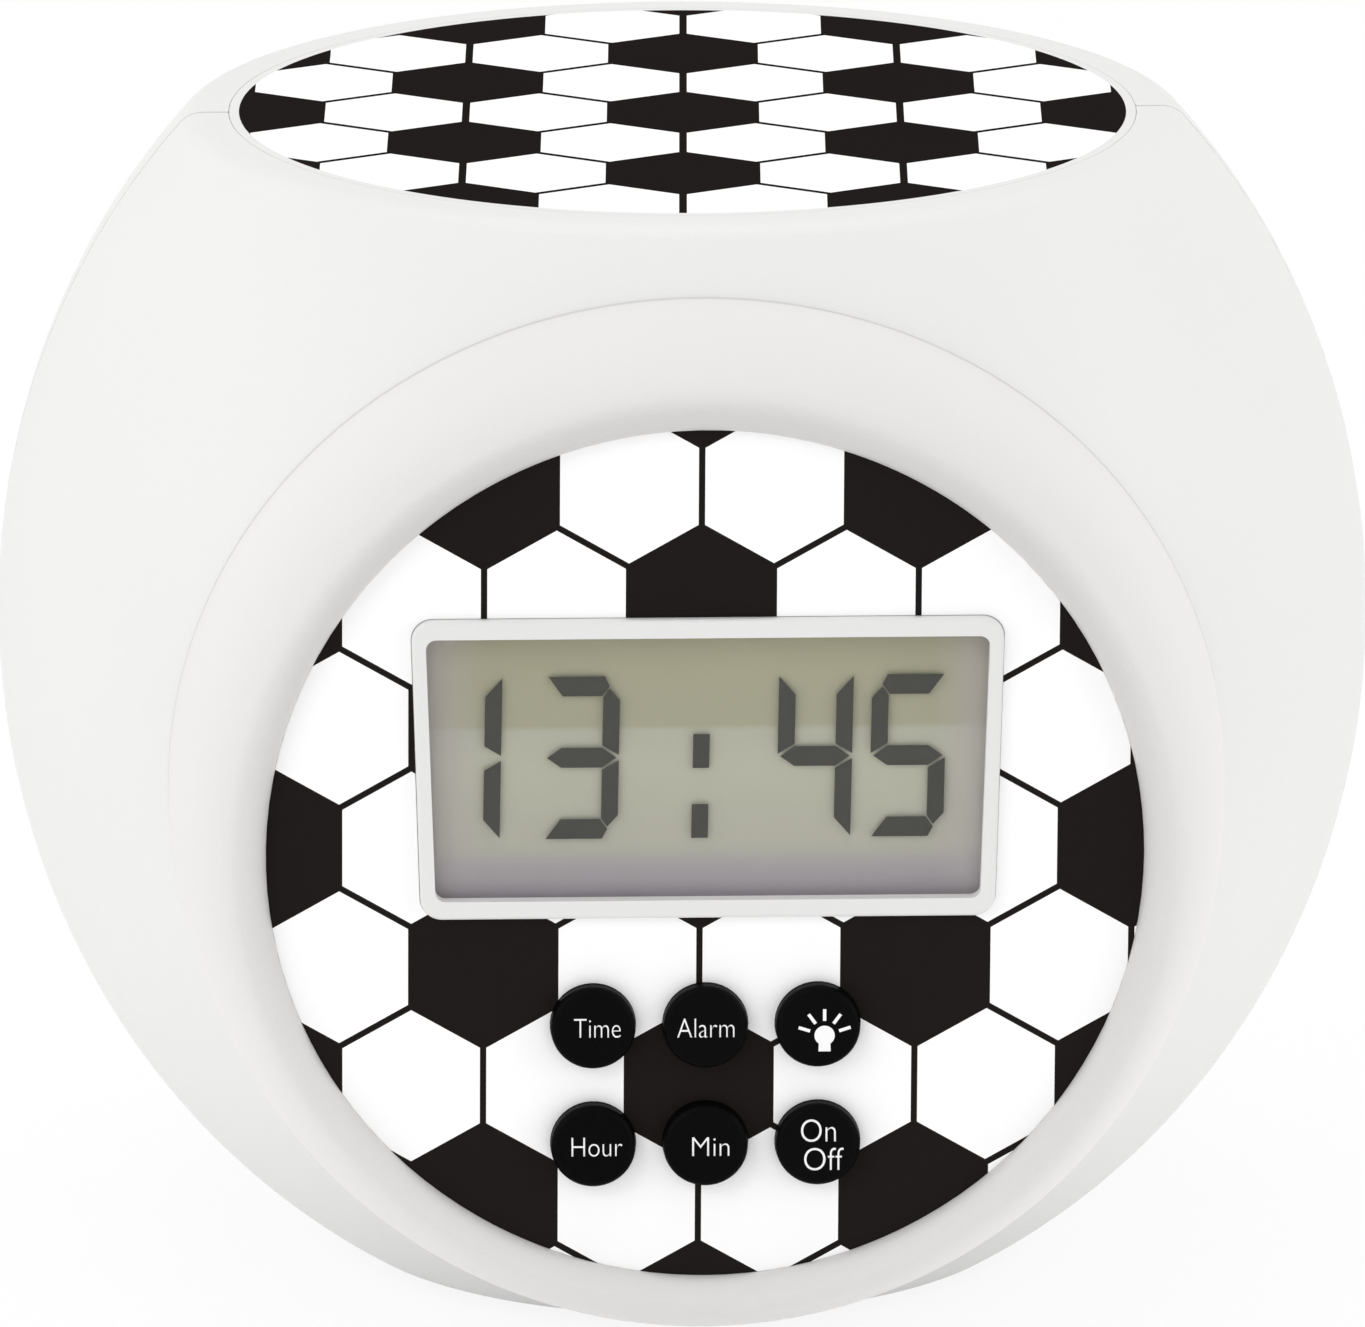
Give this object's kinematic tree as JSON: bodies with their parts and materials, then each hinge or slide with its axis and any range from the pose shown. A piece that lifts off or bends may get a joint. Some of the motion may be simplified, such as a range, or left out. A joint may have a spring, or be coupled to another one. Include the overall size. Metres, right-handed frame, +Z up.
{
  "type": "projection alarm clock",
  "caption": "Ball-shaped desk alarm clock with a round ringed dial, digital display, round keys, a flat snooze key on top and a rear picture projector.",
  "frame": {"origin": "under the middle of the clock's box, on the surface that its feet stand on", "axes": "+Z up, the dial faces -Y, +X to the right of someone who reads the dial"},
  "size_m": [0.112, 0.122, 0.0947],
  "materials": {
    "shell_white": "fine spark-eroded matte",
    "ring_white": "fine spark-eroded matte",
    "dial_print": "printed film sticker, black and white hexagons",
    "inner_white": "plain moulded",
    "key_black": "fine mottled matte",
    "clear_cover": "clear, polished",
    "lcd_grey": "reflective grey-green display",
    "light_guide": "milky",
    "zebra": "matte",
    "board_green": "solder-resist lacquer",
    "resin_black": "cast resin",
    "steel": "zinc plated",
    "spring_steel": "nickel plated",
    "cell": "plain sleeve",
    "foot_rubber": "soft matte",
    "brass": "plain",
    "lens_glass": "polished",
    "slide_film": "printed film, plain pattern",
    "led_clear": "clear epoxy",
    "switch_black": "plain moulded",
    "lead_red": "insulated wire"
  },
  "bodies": {
    "case": {"front_shell": "shell_white", "rear_shell": "shell_white", "face_ring": "ring_white", "face_plate": "inner_white", "face_label": "dial_print", "lcd_bezel": "shell_white", "lcd_window": "clear_cover", "lcd_panel": "lcd_grey", "lcd_backlight": "light_guide", "zebra_strips": "zebra", "main_board": "board_green", "controller_chip": "resin_black", "quartz_crystal": "steel", "tact_switches": "switch_black", "board_screws": "steel", "plate_screws": "steel", "ring_screws": "steel", "shell_screws": "steel", "snooze_frame": "inner_white", "frame_screws": "steel", "snooze_board": "board_green", "snooze_board_screws": "steel", "snooze_switch": "switch_black", "snooze_springs": "spring_steel", "battery_tray": "inner_white", "tray_screws": "steel", "battery_1": "cell", "battery_2": "cell", "battery_3": "cell", "contact_plates": "spring_steel", "contact_springs": "spring_steel", "feet": "foot_rubber", "buzzer": "brass", "projector_tube": "inner_white", "tube_screws": "steel", "condenser_lens": "lens_glass", "picture_slide": "slide_film", "slide_ring": "switch_black", "projector_led": "led_clear", "led_board": "board_green", "led_board_screws": "steel", "battery_leads": "lead_red", "projector_leads": "lead_red", "snooze_leads": "lead_red", "buzzer_leads": "lead_red"},
    "snooze_key": {"snooze_button": "shell_white", "top_label": "dial_print"},
    "focus": {"focus_ring": "ring_white"},
    "lens": {"lens_carrier": "switch_black", "projection_lens": "lens_glass"},
    "door": {"battery_door": "shell_white", "door_screws": "steel"},
    "key_time": {"button_time": "key_black"},
    "key_alarm": {"button_alarm": "key_black"},
    "key_light": {"button_light": "key_black"},
    "key_hour": {"button_hour": "key_black"},
    "key_minute": {"button_minute": "key_black"},
    "key_on_off": {"button_on_off": "key_black"}
  },
  "joints": [
    {"name": "press_time", "type": "slide", "parent": "case", "child": "key_time", "axis": [0, 1, 0], "range_m": [0, 0.0008], "stiffness_N_per_m": 1500, "springref_m": -0.0003},
    {"name": "press_alarm", "type": "slide", "parent": "case", "child": "key_alarm", "axis": [0, 1, 0], "range_m": [0, 0.0008], "stiffness_N_per_m": 1500, "springref_m": -0.0003},
    {"name": "press_light", "type": "slide", "parent": "case", "child": "key_light", "axis": [0, 1, 0], "range_m": [0, 0.0008], "stiffness_N_per_m": 1500, "springref_m": -0.0003},
    {"name": "press_hour", "type": "slide", "parent": "case", "child": "key_hour", "axis": [0, 1, 0], "range_m": [0, 0.0008], "stiffness_N_per_m": 1500, "springref_m": -0.0003},
    {"name": "press_minute", "type": "slide", "parent": "case", "child": "key_minute", "axis": [0, 1, 0], "range_m": [0, 0.0008], "stiffness_N_per_m": 1500, "springref_m": -0.0003},
    {"name": "press_on_off", "type": "slide", "parent": "case", "child": "key_on_off", "axis": [0, 1, 0], "range_m": [0, 0.0008], "stiffness_N_per_m": 1500, "springref_m": -0.0003},
    {"name": "press_snooze", "type": "slide", "parent": "case", "child": "snooze_key", "axis": [0, 0, -1], "range_m": [0, 0.0015], "stiffness_N_per_m": 1500, "springref_m": -0.0008, "deforming": ["snooze_springs"]},
    {"name": "slide_lens", "type": "slide", "parent": "case", "child": "lens", "axis": [0, 0.9063, 0.4226], "range_m": [0, 0.0024]},
    {"name": "turn_focus", "type": "hinge", "parent": "case", "child": "focus", "pos_m": [0, 0.04954, 0.07759], "axis": [0, 0.9063, 0.4226], "range_deg": [0, 150]},
    {"name": "lift_door", "type": "slide", "parent": "case", "child": "door", "axis": [0, 0, -1], "range_m": [0, 0.02]}
  ],
  "couplings": [
    {"joint": "turn_focus", "follows": "slide_lens", "rad_per_m": 1090.8}
  ]
}
